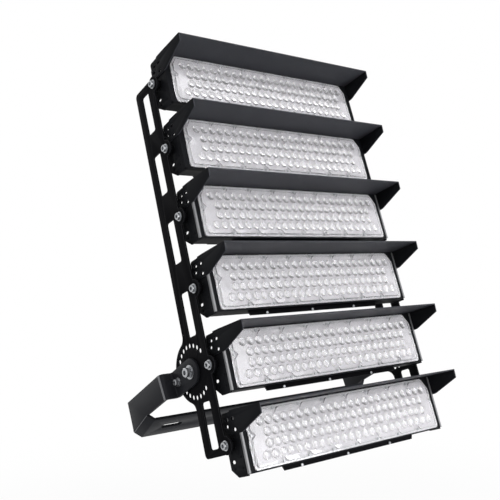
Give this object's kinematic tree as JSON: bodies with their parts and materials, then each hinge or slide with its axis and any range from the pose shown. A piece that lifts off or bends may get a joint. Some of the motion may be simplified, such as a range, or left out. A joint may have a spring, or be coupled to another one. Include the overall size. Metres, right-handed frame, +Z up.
{
  "type": "modular led stadium floodlight on a yoke",
  "caption": "Stack of long LED floodlight modules with clear lens covers and black visors, hung between two pierced side plates that tilt on a folded U-shaped yoke.",
  "frame": {"origin": "middle of the outer face of the yoke's crossbar, where the light is bolted on", "axes": "+X across the light, -Y the side that the lenses face, +Z up as in the picture"},
  "size_m": [0.5516, 0.3686, 0.7365],
  "materials": {
    "black_steel": "satin",
    "black_casting": "satin",
    "black_sheet": "satin",
    "clear_lens": "gloss",
    "white_board": "satin",
    "bolt_steel": "satin"
  },
  "bodies": {
    "yoke": {"yoke": "black_steel", "yoke_bolts": "bolt_steel", "lock_bolts": "bolt_steel"},
    "frame": {"side_plate_left": "black_steel", "side_plate_right": "black_steel", "module_bolts_left": "bolt_steel", "module_bolts_right": "bolt_steel", "spacers_left": "black_steel", "spacers_right": "black_steel"},
    "module_1": {"housing_1": "black_casting", "lens_1": "clear_lens", "led_board_1": "white_board", "brackets_1": "black_steel", "visor_1": "black_sheet"},
    "module_2": {"housing_2": "black_casting", "lens_2": "clear_lens", "led_board_2": "white_board", "brackets_2": "black_steel", "visor_2": "black_sheet"},
    "module_3": {"housing_3": "black_casting", "lens_3": "clear_lens", "led_board_3": "white_board", "brackets_3": "black_steel", "visor_3": "black_sheet"},
    "module_4": {"housing_4": "black_casting", "lens_4": "clear_lens", "led_board_4": "white_board", "brackets_4": "black_steel", "visor_4": "black_sheet"},
    "module_5": {"housing_5": "black_casting", "lens_5": "clear_lens", "led_board_5": "white_board", "brackets_5": "black_steel", "visor_5": "black_sheet"},
    "module_6": {"housing_6": "black_casting", "lens_6": "clear_lens", "led_board_6": "white_board", "brackets_6": "black_steel", "visor_6": "black_sheet"}
  },
  "joints": [
    {"name": "frame_tilt", "type": "hinge", "parent": "yoke", "child": "frame", "pos_m": [0, -0.12077, 0.11859], "axis": [1, 0, 0], "range_deg": [-90, 45]},
    {"name": "module_1_tilt", "type": "hinge", "parent": "frame", "child": "module_1", "pos_m": [0, 0.01346, 0.62375], "axis": [1, 0, 0], "range_deg": [-15, 15]},
    {"name": "module_2_tilt", "type": "hinge", "parent": "frame", "child": "module_2", "pos_m": [0, -0.03249, 0.50215], "axis": [1, 0, 0], "range_deg": [-15, 15]},
    {"name": "module_3_tilt", "type": "hinge", "parent": "frame", "child": "module_3", "pos_m": [0, -0.07844, 0.38054], "axis": [1, 0, 0], "range_deg": [-15, 15]},
    {"name": "module_4_tilt", "type": "hinge", "parent": "frame", "child": "module_4", "pos_m": [0, -0.12439, 0.25893], "axis": [1, 0, 0], "range_deg": [-15, 15]},
    {"name": "module_5_tilt", "type": "hinge", "parent": "frame", "child": "module_5", "pos_m": [0, -0.17034, 0.13732], "axis": [1, 0, 0], "range_deg": [-15, 15]},
    {"name": "module_6_tilt", "type": "hinge", "parent": "frame", "child": "module_6", "pos_m": [0, -0.2163, 0.01572], "axis": [1, 0, 0], "range_deg": [-15, 15]}
  ]
}
